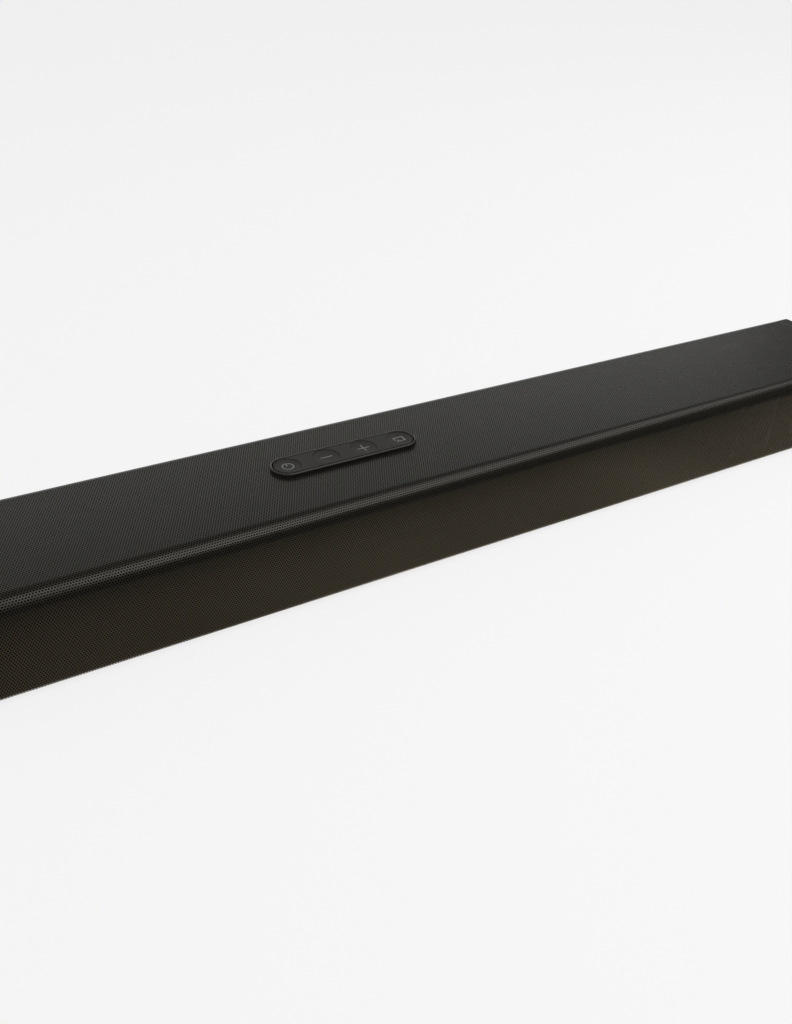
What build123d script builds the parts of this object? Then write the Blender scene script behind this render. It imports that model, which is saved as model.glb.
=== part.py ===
"""Soundbar: a perforated steel skin over a moulded cabinet, with four drivers and a four-key pad.

Millimetres. X runs along the bar, Y from the front (-) to the back (+), Z up. The origin is under the
middle of the bar, on the surface that its feet stand on.
"""

from build123d import *
import os

os.makedirs("parts", exist_ok=True)

# ---------------------------------------------------------------- driving dimensions

# whole bar
bar_length = 940
bar_depth = 99
bar_height = 62  # without the feet
foot_stand = 2  # how far the feet hold the bar up

# clearances between pieces
seam = 0.3  # open joint between two shells
shadow_gap = 1.2  # between the skin's turned edges and the rear cover
fit_gap = 0.3  # piece slipped inside another
thread_gap = 0.05  # screw thread in its pilot hole
root = 1.0  # how far a boss or block runs into the wall that it stands on
through = 1.0  # how far a cutter runs past the face that it opens

# steel skin
sheet = 1.0
front_bend = 9.0  # outer radius over the front top edge
lower_bend = 5.0  # outer radius at the front bottom edge
back_bend = 2.5  # outer radius at the back top edge
back_lip = 9.0  # height of the edge turned down at the back
bottom_lip = 9.0  # depth of the edge turned in at the bottom

# moulded shells
cabinet_wall = 2.5
cover_wall = 3.0
cover_corner = 3.0  # rounding of the lower back edge
tongue = 1.8  # rib under the cabinet's back lip that slips behind the rear cover
tongue_reach = 3.0
cap_length = 12.0
cap_wall = 3.0
cap_round = 2.5
spigot_length = 8.0
spigot_wall = 2.0
spigot_corner = 5.5

# pillars and their screws
pillar_radius = 4.0
boss_radius = 5.0
boss_height = 4.0  # on the cover, under each pillar
front_pillar_insets = (30, 105, 200)  # from each end of the bar
back_pillar_insets = (30, 150)
board_pillar_gap = 55.0  # from each end of the main board
front_row = -32.0
back_row = 38.0
screw_radius = 1.5
screw_reach = 10.0
screw_head_radius = 2.8
screw_head = 2.0
screw_head_room = 0.4
screw_well = 4.0  # depth of the counterbore under the bar
screw_cross = 3.4  # length of the driver cross in a head
screw_cross_width = 0.6

# feet
foot_length = 40.0
foot_width = 9.0
foot_recess = 0.8
foot_inset = 68.0  # from the end of the bar to a foot's middle
foot_edge = 0.6

# control pad
key_pitch = 27.0
key_count = 4
key_radius = 8.2
key_clearance = 0.25
key_travel = 0.4
key_dish = 0.7  # depth of the dished finger face
key_drop = 0.3  # edge of a key below the pad's face
key_thickness = 2.9
key_stem_radius = 2.0
stem_play = 0.6
pad_width = 22.0
pad_rise = 2.5
pad_rim = 1.6
pad_groove = 0.35
pad_ledge = 0.6  # how far the rim lies over the steel
pad_back_offset = 43.0  # line of keys to the back of the bar
rim_round = 0.6

# key board under the pad
board_thickness = 1.6
switch_size = 6.0
switch_height = 3.5
switch_socket = 1.5
key_board_drop = 4.2  # from the cabinet's roof to the board
key_board_width = 14.0
key_board_margin = 7.0
small_screw_radius = 1.2
small_screw_reach = 3.5
small_head_radius = 2.5
small_head = 1.6
small_boss_radius = 3.0

# drivers, each set in a pocket behind the skin
driver_pitch = 70.0
driver_inset = 105.0  # from the end of the bar to the middle of a pair
driver_flange = 47.0
driver_corner = 6.0
driver_cutout = 20.7
driver_screw_offset = 19.5
driver_screw_reach = 5.5  # into the baffle and its bosses
flange_thickness = 2.0
gasket_thickness = 1.0
pocket_depth = 6.0
pocket_play = 0.3
pocket_margin = 8.0  # baffle left beside each pocket
baffle_thickness = 3.0
baffle_boss = 5.0
basket_depth = 14.5  # behind the flange
basket_wall = 1.2
basket_play = 0.5  # basket to the cut-out
basket_shoulder = 3.0  # straight stretch behind the flange
basket_plate = 1.5
basket_lap = 0.5  # how far the basket's back reaches past the magnet
basket_windows = 6
window_length = 6.0
window_width = 5.0
magnet_radius = 15.0
magnet_depth = 14.5
magnet_plate = 3.5
pole_radius = 5.6
coil_play = 0.4
former_wall = 1.0
former_depth = 5.5  # how far the voice coil's former reaches into the magnet
cone_radius = 17.8
cone_wall = 0.7
cone_drop = 0.4  # cone's edge below the flange's face
cone_lip = 1.0
neck_height = 7.5  # where the cone meets its former, above the magnet
cap_lap = 0.9  # dust cap's edge outside the former
cap_height = 4.5
cap_seat = 1.4
surround_wall = 0.5
surround_rise = 1.6
surround_play = 0.4
spider_wall = 0.6
spider_height = 5.0
spider_wave = 0.8
spider_pitch = 2.5
gasket_margin = 0.5

# bass ports
port_radius = 11.0
port_wall = 1.5
port_length = 60.0
port_flange = 16.0
port_flange_thickness = 1.5
port_flare = 3.5

# socket bay in the back
bay_width = 160.0
bay_low = 6.0
bay_high = 40.0
bay_depth = 15.5
bay_wall = 2.5
panel_thickness = 1.0
panel_margin = 1.0

# main board
main_board_length = 190.0
main_board_depth = 53.2
main_board_level = 16.0  # underside of the board
standoff_radius = 3.5
board_screw_reach = 4.5
standoff_inset = 7.0
socket_depth = 14.0
socket_play = 0.3

# wall keyholes
keyhole_inset = 200.0  # from the end of the bar
keyhole_z = 28.0
keyhole_head = 4.5
keyhole_slot = 2.3
keyhole_rise = 10.0
keyhole_room = 3.5
keyhole_box_wall = 1.5
keyhole_box_width = 17.0
keyhole_box_margin = 7.0

# vent slots beside the bay
vent_count = 9
vent_pitch = 5.0
vent_width = 2.0
vent_height = 24.0
vent_x = 115.0
vent_z = 28.0

# indicator lights behind the front
indicator_z = 30.5
indicator_board_length = 60.0
indicator_board_height = 12.0
indicator_gap = 2.5
indicator_window_length = 44.0
indicator_window_height = 7.0
indicator_boss_x = 26.0
led_width = 3.0
led_count = 4
led_pitch = 6.0
led_middle = -6.0
led_depth = 0.5  # lights behind the skin's inner face
led_round = 0.6
receiver_width = 6.0
receiver_x = 16.0
receiver_round = 1.5

# inner leads
lead_radius = 1.5
lead_level = 9.0
lead_rows = (6.0, 0.0)  # the outer driver's lead, then the inner driver's
lead_drop = 9.0  # where a lead leaves its driver, below the driver's axis
lead_rest = 0.2  # lead or ribbon over the board
lead_overlap = 4.0  # how far a lead reaches over the board
lead_climb = 14.0  # from a lead's end back to where it climbs to the board
ribbon_width = 10.0
ribbon_thickness = 0.6
ribbon_x = 0.0
ribbon_bow = 9.0
ribbon_fall = 8.0
ribbon_bend = 3.0

# pieces on the main board
amplifier_inset = 45.0  # from the board's right end
amplifier_front = 14.0  # from the board's front edge
amplifier_size = 14.0
amplifier_height = 1.2
sink_length = 60.0
sink_width = 22.0
sink_base = 3.0
sink_height = 14.0
sink_fins = 8
sink_fin = 1.4
sink_pin_inset = 4.0
module_inset = 20.0  # from the board's left end
module_front = 12.0
module_length = 18.0
module_width = 14.0
module_height = 2.6
module_board = 0.8
module_aerial = 4.0  # end of the module left outside its can
module_edge = 1.0
module_round = 0.6
capacitor_radius = 5.0
capacitor_height = 14.0
capacitor_edge = 0.6
capacitor_pitch = 13.0
capacitor_inset = 45.5  # from the board's left end
capacitor_front = 13.0
choke_size = 9.0
choke_height = 7.0
choke_round = 1.5
choke_pitch = 14.0
choke_count = 4
choke_back = 19.2  # from the board's back edge

# mouths of the sockets
dc_bore = 3.1
dc_depth = 9.5
dc_pin = 1.0
aux_bore = 1.8
aux_depth = 12.5
optical_mouth = 6.4
optical_depth = 8.5
usb_mouth_width = 12.5
usb_mouth_height = 5.2
usb_depth = 11.0
usb_tongue_width = 11.0
usb_tongue_height = 1.8
usb_tongue_lift = 1.0
hdmi_mouth_width = 13.9
hdmi_mouth_height = 4.5
hdmi_depth = 10.0
hdmi_tongue_width = 11.0
hdmi_tongue_height = 1.0
hdmi_tongue_lift = 0.4
tongue_drop = 0.5  # end of a tongue or pin behind the mouth

# ---------------------------------------------------------------- places that follow from them

bottom = foot_stand
top = bottom + bar_height
half_length = bar_length / 2
front = -bar_depth / 2
back = bar_depth / 2
middle_z = (bottom + top) / 2
shell_end = half_length - cap_length - seam
cabinet_outside = sheet + fit_gap
cabinet_inside = cabinet_outside + cabinet_wall
roof_top = top - cabinet_outside
roof = top - cabinet_inside
lip_level = top - back_lip
cover_front = front + bottom_lip + shadow_gap
cover_top = lip_level - shadow_gap
cover_floor = bottom + cover_wall
tongue_back = back - cover_wall - fit_gap
tongue_front = tongue_back - tongue
boss_top = cover_floor + boss_height
front_pillars = [half_length - inset for inset in front_pillar_insets]
back_pillars = [half_length - inset for inset in back_pillar_insets]
board_pillar = main_board_length / 2 + board_pillar_gap
pillar_points = [(side * x, front_row) for side in (-1, 1) for x in (board_pillar, *front_pillars)]
pillar_points += [(side * x, back_row) for side in (-1, 1) for x in (board_pillar, *back_pillars)]
foot_x = half_length - foot_inset
foot_points = [(side * foot_x, y) for side in (-1, 1) for y in (front_row, back_row)]
driver_pair_x = half_length - driver_inset
keyhole_x = half_length - keyhole_inset

pad_y = back - pad_back_offset
pad_length = (key_count - 1) * key_pitch + pad_width
pad_top = top + pad_rise
key_names = ("power", "volume_down", "volume_up", "source")
key_x = [(i - (key_count - 1) / 2) * key_pitch for i in range(key_count)]
key_edge = pad_top - key_drop
key_under = key_edge - key_thickness
key_board_top = roof - key_board_drop
key_board_length = (key_count - 1) * key_pitch + 2 * key_board_margin
key_board_screws = [(side * key_pitch, pad_y) for side in (-1, 1)]
switch_top = key_board_top + switch_height
stem_end = switch_top - switch_socket + key_travel + fit_gap

pocket_floor = front + cabinet_outside + pocket_depth
baffle_back = pocket_floor + baffle_thickness
flange_front = gasket_thickness + flange_thickness
basket_back = gasket_thickness - basket_depth
basket_rim = driver_cutout - basket_play
basket_foot = magnet_radius + basket_lap
magnet_back = basket_back - magnet_depth
former_inside = pole_radius + coil_play
former_outside = former_inside + former_wall
gap_outside = former_outside + coil_play
driver_places = {
    f"driver_{side}_{place}": sign * (driver_pair_x + offset * driver_pitch / 2)
    for side, sign in (("left", -1), ("right", 1))
    for place, offset in (("outer", 1), ("inner", -1))
}

indicator_face = front + cabinet_inside + indicator_gap
led_front = front + cabinet_outside + led_depth

bay_face = back - bay_depth
bay_back_wall = bay_face - bay_wall
panel_face = bay_face + panel_thickness
board_back = bay_back_wall - fit_gap
board_front = board_back - main_board_depth
board_right = main_board_length / 2
board_left = -board_right
board_top = main_board_level + board_thickness
socket_front = panel_face - socket_depth
standoff_points = [
    (side * (board_right - standoff_inset), y)
    for side in (-1, 1)
    for y in (board_front + standoff_inset, board_back - standoff_inset)
]
# name: middle, width, height
sockets = {
    "dc_socket": (-60.0, 9.0, 11.0),
    "aux_socket": (-35.0, 8.0, 8.0),
    "optical_socket": (-10.0, 9.6, 10.0),
    "usb_socket": (20.0, 14.5, 7.4),
    "hdmi_socket": (52.0, 15.4, 6.4),
}


# ---------------------------------------------------------------- shared shapes


def save(piece, name):
    """Label a finished piece and write its STEP file."""
    piece.part.label = name
    export_step(piece.part, f"parts/{name}.step")


def block(low, high, mode=Mode.ADD):
    """Box between two opposite corners."""
    with Locations(tuple((a + b) / 2 for a, b in zip(low, high))):
        Box(*(b - a for a, b in zip(low, high)), mode=mode)


def upright(points, radius, low, high, mode=Mode.ADD):
    """Vertical cylinders at points of the plan, between two levels."""
    with Locations([(x, y, (low + high) / 2) for x, y in points]):
        Cylinder(radius, high - low, mode=mode)


def skin_corners(inset):
    """Corners of the skin's section, moved inwards, from the back lip round to the bottom lip."""
    return [
        (back - inset, lip_level),
        (back - inset, top - inset),
        (front + inset, top - inset),
        (front + inset, bottom + inset),
        (front + bottom_lip, bottom + inset),
    ]


def skin_bends(inset):
    """Bend radii at the section's three inner corners, moved inwards."""
    return [max(0.0, bend - inset) for bend in (back_bend, front_bend, lower_bend)]


def skin_section(x, outer, inner):
    """Section of a shell that follows the skin between two insets, on the plane across the bar at x."""
    with BuildSketch(Plane.YZ.offset(x)) as section:
        with BuildLine():
            outside = FilletPolyline(*skin_corners(outer), radius=skin_bends(outer))
            inside = FilletPolyline(*skin_corners(inner), radius=skin_bends(inner))
            Line(outside @ 0, inside @ 0)
            Line(outside @ 1, inside @ 1)
        make_face()
    return section.sketch


def skin_core(x, inset, near, far, low):
    """What an inset skin encloses between two depths and above a level, on the plane across the bar at x."""
    with BuildSketch(Plane.YZ.offset(x)) as section:
        with BuildLine():
            outline = FilletPolyline(*skin_corners(inset), radius=skin_bends(inset))
            Line(outline @ 0, outline @ 1)
        make_face()
        with Locations(((near + far) / 2, (low + top) / 2)):
            Rectangle(far - near, top - low, mode=Mode.INTERSECT)
    return section.sketch


def stadium(inset, level):
    """Outline of the control pad, moved inwards, at a level."""
    with BuildSketch(Plane.XY.offset(level)) as outline:
        with Locations((0, pad_y)):
            SlotOverall(pad_length - 2 * inset, pad_width - 2 * inset)
    return outline.sketch


def driver_section(x):
    """Plane through a driver's axis: the first axis is the radius, the second runs to the front."""
    return Plane(origin=(x, pocket_floor, middle_z), x_dir=(1, 0, 0), z_dir=(0, 0, -1))


def driver_face(x, forward):
    """Plane across a driver's axis, at a distance in front of its seat."""
    return Plane(origin=(x, pocket_floor - forward, middle_z), x_dir=(1, 0, 0), z_dir=(0, -1, 0))


def driver_axis(x):
    return Axis((x, pocket_floor, middle_z), (0, -1, 0))


# ---------------------------------------------------------------- steel skin

with BuildPart() as grille:
    extrude(skin_section(-shell_end, 0, sheet), amount=2 * shell_end)
    extrude(stadium(pad_ledge, roof_top), amount=top - roof_top + through, mode=Mode.SUBTRACT)
save(grille, "grille")

# ---------------------------------------------------------------- moulded cabinet

baffle_half = driver_pitch / 2 + driver_flange / 2 + pocket_margin
pocket_half = driver_pitch / 2 + driver_flange / 2 + pocket_play
pocket_rise = driver_flange / 2 + pocket_play

with BuildPart() as front_cabinet:
    extrude(skin_section(-shell_end, cabinet_outside, cabinet_inside), amount=2 * shell_end)
    block((-shell_end, tongue_front, cover_top - tongue_reach), (shell_end, tongue_back, roof + root))
    upright(pillar_points, pillar_radius, boss_top, roof + root)
    upright(key_board_screws, small_boss_radius, key_board_top, roof + root)
    # a thick baffle behind each pair of drivers, with the pocket that they sit in
    for x in (-driver_pair_x, driver_pair_x):
        solid_baffle = skin_core(
            x - baffle_half, cabinet_outside, front, baffle_back, bottom + cabinet_inside
        )
        extrude(solid_baffle, amount=2 * baffle_half)
    for x in driver_places.values():
        with Locations(driver_face(x, -(baffle_thickness + baffle_boss + root) / 2)):
            with GridLocations(2 * driver_screw_offset, 2 * driver_screw_offset, 2, 2):
                Cylinder(small_boss_radius, baffle_thickness + baffle_boss - root)
    for x in (-driver_pair_x, driver_pair_x):
        block(
            (x - pocket_half, front, middle_z - pocket_rise),
            (x + pocket_half, pocket_floor, middle_z + pocket_rise),
            mode=Mode.SUBTRACT,
        )
    for x in driver_places.values():
        with Locations(driver_face(x, 0)):
            Cylinder(driver_cutout, 2 * (baffle_thickness + through), mode=Mode.SUBTRACT)
            with GridLocations(2 * driver_screw_offset, 2 * driver_screw_offset, 2, 2):
                Cylinder(
                    small_screw_radius + thread_gap,
                    2 * (driver_screw_reach + through),
                    mode=Mode.SUBTRACT,
                )
    # bosses and window for the indicator board
    for x in (-indicator_boss_x, indicator_boss_x):
        boss_middle = indicator_face - (indicator_gap + root) / 2
        with Locations(Location((x, boss_middle, indicator_z), (90, 0, 0))):
            Cylinder(small_boss_radius, indicator_gap + root)
    block(
        (-indicator_window_length / 2, front, indicator_z - indicator_window_height / 2),
        (indicator_window_length / 2, indicator_face, indicator_z + indicator_window_height / 2),
        mode=Mode.SUBTRACT,
    )
    # pilot holes
    upright(
        pillar_points,
        screw_radius + thread_gap,
        boss_top - through,
        boss_top + screw_reach,
        mode=Mode.SUBTRACT,
    )
    upright(
        key_board_screws,
        small_screw_radius + thread_gap,
        key_board_top - through,
        key_board_top + small_screw_reach + root / 2,
        mode=Mode.SUBTRACT,
    )
    # a hole in the roof for each key's stem
    upright(
        [(x, pad_y) for x in key_x],
        key_stem_radius + stem_play,
        roof - through,
        roof_top + through,
        mode=Mode.SUBTRACT,
    )
save(front_cabinet, "front_cabinet")

with BuildPart() as rear_cover:
    # back wall and bottom wall
    with BuildSketch(Plane.YZ.offset(-shell_end)):
        with BuildLine():
            Polyline(
                (back, bottom),
                (back, cover_top),
                (back - cover_wall, cover_top),
                (back - cover_wall, cover_floor),
                (cover_front, cover_floor),
                (cover_front, bottom),
                close=True,
            )
        make_face()
    extrude(amount=2 * shell_end)
    fillet(
        rear_cover.edges().filter_by(Axis.X).group_by(Axis.Z)[0].sort_by(Axis.Y)[-1],
        radius=cover_corner,
    )
    upright(pillar_points, boss_radius, cover_floor - root, boss_top)
    upright(standoff_points, standoff_radius, cover_floor - root, main_board_level)
    block(
        (-bay_width / 2 - bay_wall, bay_back_wall, cover_floor - root),
        (bay_width / 2 + bay_wall, back - root, bay_high + bay_wall),
    )
    for x in (-keyhole_x, keyhole_x):
        block(
            (
                x - keyhole_box_width / 2,
                back - cover_wall - keyhole_room - keyhole_box_wall,
                keyhole_z - keyhole_box_margin,
            ),
            (x + keyhole_box_width / 2, back - root, keyhole_z + keyhole_rise + keyhole_box_margin),
        )
    # the bay, open at the back, and the cut-outs for the sockets in its wall
    block(
        (-bay_width / 2, bay_face, bay_low),
        (bay_width / 2, back + through, bay_high),
        mode=Mode.SUBTRACT,
    )
    for x, width, height in sockets.values():
        block(
            (x - width / 2 - socket_play, bay_back_wall - through, board_top - socket_play),
            (x + width / 2 + socket_play, bay_face + through, board_top + height + socket_play),
            mode=Mode.SUBTRACT,
        )
    # wall keyholes: a head hole with a slot rising from it, and room for the screw's head behind
    for x in (-keyhole_x, keyhole_x):
        block(
            (
                x - keyhole_box_width / 2 + keyhole_box_wall,
                back - cover_wall - keyhole_room,
                keyhole_z - keyhole_box_margin + keyhole_box_wall,
            ),
            (
                x + keyhole_box_width / 2 - keyhole_box_wall,
                back - cover_wall,
                keyhole_z + keyhole_rise + keyhole_box_margin - keyhole_box_wall,
            ),
            mode=Mode.SUBTRACT,
        )
        with BuildSketch(Plane.XZ.offset(-back - through)):
            with Locations((x, keyhole_z)):
                Circle(keyhole_head)
            with Locations((x, keyhole_z + keyhole_rise)):
                Circle(keyhole_slot)
            with Locations((x, keyhole_z + keyhole_rise / 2)):
                Rectangle(2 * keyhole_slot, keyhole_rise)
        extrude(amount=cover_wall + 2 * through, mode=Mode.SUBTRACT)
    # bass port holes, each with a shallow seat for the port's flange
    for x in (-driver_pair_x, driver_pair_x):
        with Locations(Location((x, back, middle_z), (90, 0, 0))):
            Cylinder(
                port_radius + port_wall + fit_gap, 2 * (cover_wall + through), mode=Mode.SUBTRACT
            )
            Cylinder(port_flange + fit_gap, 2 * port_flange_thickness, mode=Mode.SUBTRACT)
    # vent slots
    for x in (-vent_x, vent_x):
        with Locations((x, back - cover_wall / 2, vent_z)):
            with GridLocations(vent_pitch, 1, vent_count, 1):
                Box(vent_width, 2 * cover_wall, vent_height, mode=Mode.SUBTRACT)
    # counterbored screw holes, and pilot holes in the standoffs
    upright(
        pillar_points,
        screw_radius + fit_gap / 2,
        bottom - through,
        boss_top + through,
        mode=Mode.SUBTRACT,
    )
    upright(
        pillar_points,
        screw_head_radius + screw_head_room,
        bottom - through,
        bottom + screw_well,
        mode=Mode.SUBTRACT,
    )
    upright(
        standoff_points,
        screw_radius + thread_gap,
        main_board_level - board_screw_reach - through,
        main_board_level + through,
        mode=Mode.SUBTRACT,
    )
    # seats for the feet
    with BuildSketch(Plane.XY.offset(bottom + foot_recess)):
        with Locations(*foot_points):
            SlotOverall(foot_length + 2 * fit_gap, foot_width + 2 * fit_gap)
    extrude(amount=-foot_recess - through, mode=Mode.SUBTRACT)
save(rear_cover, "rear_cover")

# ---------------------------------------------------------------- end caps


def cap_outline(x):
    """Section of the whole bar at x, which an end cap fills."""
    with BuildSketch(Plane.YZ.offset(x)) as outline:
        with BuildLine():
            FilletPolyline(
                (back, bottom),
                (back, top),
                (front, top),
                (front, bottom),
                radius=[cover_corner, back_bend, front_bend, lower_bend],
                close=True,
            )
        make_face()
    return outline.sketch


def spigot_outline(x, wall):
    """Section of the spigot that slips into the cabinet, or of its hollow."""
    low = bottom + cabinet_inside + fit_gap + wall
    high = roof - fit_gap - wall
    near = front + cabinet_inside + fit_gap + wall
    far = tongue_front - fit_gap - wall
    with BuildSketch(Plane.YZ.offset(x)) as outline:
        with Locations(((near + far) / 2, (low + high) / 2)):
            RectangleRounded(far - near, high - low, spigot_corner - wall)
    return outline.sketch


for side, sign in (("left", -1), ("right", 1)):
    inner_end = sign * (half_length - cap_length)
    with BuildPart() as end_cap:
        extrude(cap_outline(inner_end), amount=sign * cap_length)
        fillet(
            end_cap.faces().sort_by(Axis.X)[-1 if sign > 0 else 0].edges(),
            radius=cap_round,
        )
        extrude(spigot_outline(inner_end, 0), amount=-sign * spigot_length)
        extrude(
            spigot_outline(inner_end - sign * spigot_length, spigot_wall),
            amount=sign * (spigot_length + cap_length - cap_wall),
            mode=Mode.SUBTRACT,
        )
    save(end_cap, f"end_cap_{side}")

# ---------------------------------------------------------------- feet and cabinet screws

with BuildPart() as rubber_feet:
    with BuildSketch():
        with Locations(*foot_points):
            SlotOverall(foot_length, foot_width)
    extrude(amount=bottom + foot_recess)
    chamfer(rubber_feet.edges().group_by(Axis.Z)[0], length=foot_edge)
save(rubber_feet, "rubber_feet")

with BuildPart() as cabinet_screws:
    upright(pillar_points, screw_radius, bottom + screw_well - root, boss_top + screw_reach - root)
    upright(
        pillar_points,
        screw_head_radius,
        bottom + screw_well - screw_head,
        bottom + screw_well,
    )
    with Locations(*[(x, y, bottom + screw_well - screw_head) for x, y in pillar_points]):
        for turn in (0, 90):
            with Locations(Location((0, 0, 0), (0, 0, turn))):
                Box(screw_cross, screw_cross_width, screw_head, mode=Mode.SUBTRACT)
save(cabinet_screws, "cabinet_screws")

# ---------------------------------------------------------------- control pad

with BuildPart() as pad_bezel:
    extrude(stadium(0, top), amount=pad_rise)
    fillet(pad_bezel.faces().sort_by(Axis.Z)[-1].edges(), radius=rim_round)
    extrude(stadium(pad_ledge + fit_gap, roof_top), amount=top - roof_top)
    extrude(
        stadium(pad_rim, roof_top - through),
        amount=pad_top - roof_top + 2 * through,
        mode=Mode.SUBTRACT,
    )
save(pad_bezel, "pad_bezel")

with BuildPart() as pad_face:
    extrude(stadium(pad_rim + pad_groove, roof_top), amount=pad_top - roof_top)
    fillet(pad_face.faces().sort_by(Axis.Z)[-1].edges(), radius=rim_round / 2)
    upright(
        [(x, pad_y) for x in key_x],
        key_radius + key_clearance,
        roof_top - through,
        pad_top + through,
        mode=Mode.SUBTRACT,
    )
save(pad_face, "pad_face")

dish_radius = (key_radius**2 + key_dish**2) / (2 * key_dish)
for name, x in zip(key_names, key_x):
    with BuildPart() as key:
        with Locations((x, pad_y, (key_under + key_edge) / 2)):
            Cylinder(key_radius, key_thickness)
        with Locations((x, pad_y, (stem_end + key_under) / 2)):
            Cylinder(key_stem_radius, key_under - stem_end)
        with Locations((x, pad_y, key_edge - key_dish + dish_radius)):
            Sphere(dish_radius, mode=Mode.SUBTRACT)
    save(key, f"key_{name}")

with BuildPart() as key_board:
    block(
        (-key_board_length / 2, pad_y - key_board_width / 2, key_board_top - board_thickness),
        (key_board_length / 2, pad_y + key_board_width / 2, key_board_top),
    )
    upright(
        key_board_screws,
        small_screw_radius + fit_gap / 2,
        key_board_top - board_thickness - through,
        key_board_top + through,
        mode=Mode.SUBTRACT,
    )
save(key_board, "key_board")

with BuildPart() as key_switches:
    with Locations(*[(x, pad_y, key_board_top + switch_height / 2) for x in key_x]):
        Box(switch_size, switch_size, switch_height)
    upright(
        [(x, pad_y) for x in key_x],
        key_stem_radius + fit_gap,
        switch_top - switch_socket,
        switch_top + through,
        mode=Mode.SUBTRACT,
    )
save(key_switches, "key_switches")

head_seat = key_board_top - board_thickness

with BuildPart() as key_board_fixings:
    upright(key_board_screws, small_screw_radius, head_seat - root, key_board_top + small_screw_reach)
    upright(key_board_screws, small_head_radius, head_seat - small_head, head_seat)
save(key_board_fixings, "key_board_screws")

# ---------------------------------------------------------------- drivers

for name, x in driver_places.items():
    section = driver_section(x)
    axis = driver_axis(x)

    with BuildPart() as frame:
        with BuildSketch(driver_face(x, gasket_thickness)):
            RectangleRounded(driver_flange, driver_flange, driver_corner)
            Circle(basket_rim - basket_wall, mode=Mode.SUBTRACT)
            with GridLocations(2 * driver_screw_offset, 2 * driver_screw_offset, 2, 2):
                Circle(small_screw_radius + fit_gap, mode=Mode.SUBTRACT)
        extrude(amount=flange_thickness)
        shoulder = gasket_thickness - basket_shoulder
        with BuildSketch(section):
            with BuildLine():
                Polyline(
                    (basket_rim - basket_wall, flange_front - root),
                    (basket_rim, flange_front - root),
                    (basket_rim, shoulder),
                    (basket_foot, basket_back + basket_plate),
                    (basket_foot, basket_back),
                    (gap_outside, basket_back),
                    (gap_outside, basket_back + basket_plate),
                    (basket_foot - basket_wall, basket_back + basket_plate),
                    (basket_rim - basket_wall, shoulder),
                    close=True,
                )
            make_face()
        revolve(axis=axis)
        with Locations(driver_face(x, (shoulder + basket_back + basket_plate) / 2)):
            with PolarLocations((basket_rim + basket_foot) / 2, basket_windows):
                window_cut = basket_rim - basket_foot + 3 * basket_wall
                Box(window_cut, window_width, window_length, mode=Mode.SUBTRACT)
    save(frame, f"{name}_frame")

    with BuildPart() as magnet:
        with BuildSketch(section):
            with BuildLine():
                Polyline(
                    (0, magnet_back),
                    (magnet_radius, magnet_back),
                    (magnet_radius, basket_back),
                    (gap_outside, basket_back),
                    (gap_outside, magnet_back + magnet_plate),
                    (pole_radius, magnet_back + magnet_plate),
                    (pole_radius, basket_back),
                    (0, basket_back),
                    close=True,
                )
            make_face()
        revolve(axis=axis)
    save(magnet, f"{name}_magnet")

    neck = basket_back + neck_height
    lip = flange_front - cone_drop
    cap_crown = neck + cap_height
    cap_edge = former_outside + cap_lap
    with BuildPart() as cone:
        with BuildSketch(section):
            with BuildLine():
                Line((0, cap_crown - cone_wall), (0, cap_crown))
                TangentArc((0, cap_crown), (cap_edge, neck + cap_seat), tangent=(1, 0))
                Polyline(
                    (cap_edge, neck + cap_seat),
                    (cone_radius - cone_lip, lip),
                    (cone_radius, lip),
                    (cone_radius, lip - cone_wall),
                    (cone_radius - cone_lip, lip - cone_wall),
                    (former_outside, neck),
                    (former_outside, basket_back - former_depth),
                    (former_inside, basket_back - former_depth),
                    (former_inside, neck + cap_seat),
                )
                TangentArc((0, cap_crown - cone_wall), (former_inside, neck + cap_seat), tangent=(1, 0))
            make_face()
        revolve(axis=axis)
    save(cone, f"{name}_cone")

    with BuildPart() as surround:
        with BuildSketch(section):
            with BuildLine():
                outer_ring = driver_flange / 2 - gasket_margin
                roll_out = driver_cutout
                roll_in = cone_radius + surround_play
                Polyline(
                    (roll_out - surround_wall, flange_front),
                    (outer_ring, flange_front),
                    (outer_ring, flange_front + surround_wall),
                    (roll_out, flange_front + surround_wall),
                )
                ThreePointArc(
                    (roll_out, flange_front + surround_wall),
                    ((roll_in + roll_out) / 2, flange_front + surround_rise + surround_wall),
                    (roll_in, lip + surround_wall),
                )
                Polyline(
                    (roll_in, lip + surround_wall),
                    (cone_radius - cone_lip, lip + surround_wall),
                    (cone_radius - cone_lip, lip),
                    (roll_in + surround_wall, lip),
                )
                ThreePointArc(
                    (roll_in + surround_wall, lip),
                    ((roll_in + roll_out) / 2, flange_front + surround_rise),
                    (roll_out - surround_wall, flange_front),
                )
            make_face()
        revolve(axis=axis)
    save(surround, f"{name}_surround")

    spider_under = [
        (former_outside + fit_gap, basket_back + spider_height),
        (former_outside + spider_pitch, basket_back + spider_height + spider_wave),
        (former_outside + 2 * spider_pitch, basket_back + spider_height),
        (magnet_radius - fit_gap, basket_back + spider_height),
    ]
    spider_over = [(radius, level + spider_wall) for radius, level in reversed(spider_under)]
    with BuildPart() as spider:
        with BuildSketch(section):
            with BuildLine():
                Polyline(*spider_under, *spider_over, close=True)
            make_face()
        revolve(axis=axis)
    save(spider, f"{name}_spider")

with BuildPart() as driver_gaskets:
    for x in driver_places.values():
        with BuildSketch(driver_face(x, 0)):
            gasket_size = driver_flange - 2 * gasket_margin
            RectangleRounded(gasket_size, gasket_size, driver_corner)
            Circle(driver_cutout, mode=Mode.SUBTRACT)
            with GridLocations(2 * driver_screw_offset, 2 * driver_screw_offset, 2, 2):
                Circle(small_screw_radius + fit_gap, mode=Mode.SUBTRACT)
        extrude(amount=gasket_thickness)
save(driver_gaskets, "driver_gaskets")

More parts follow.
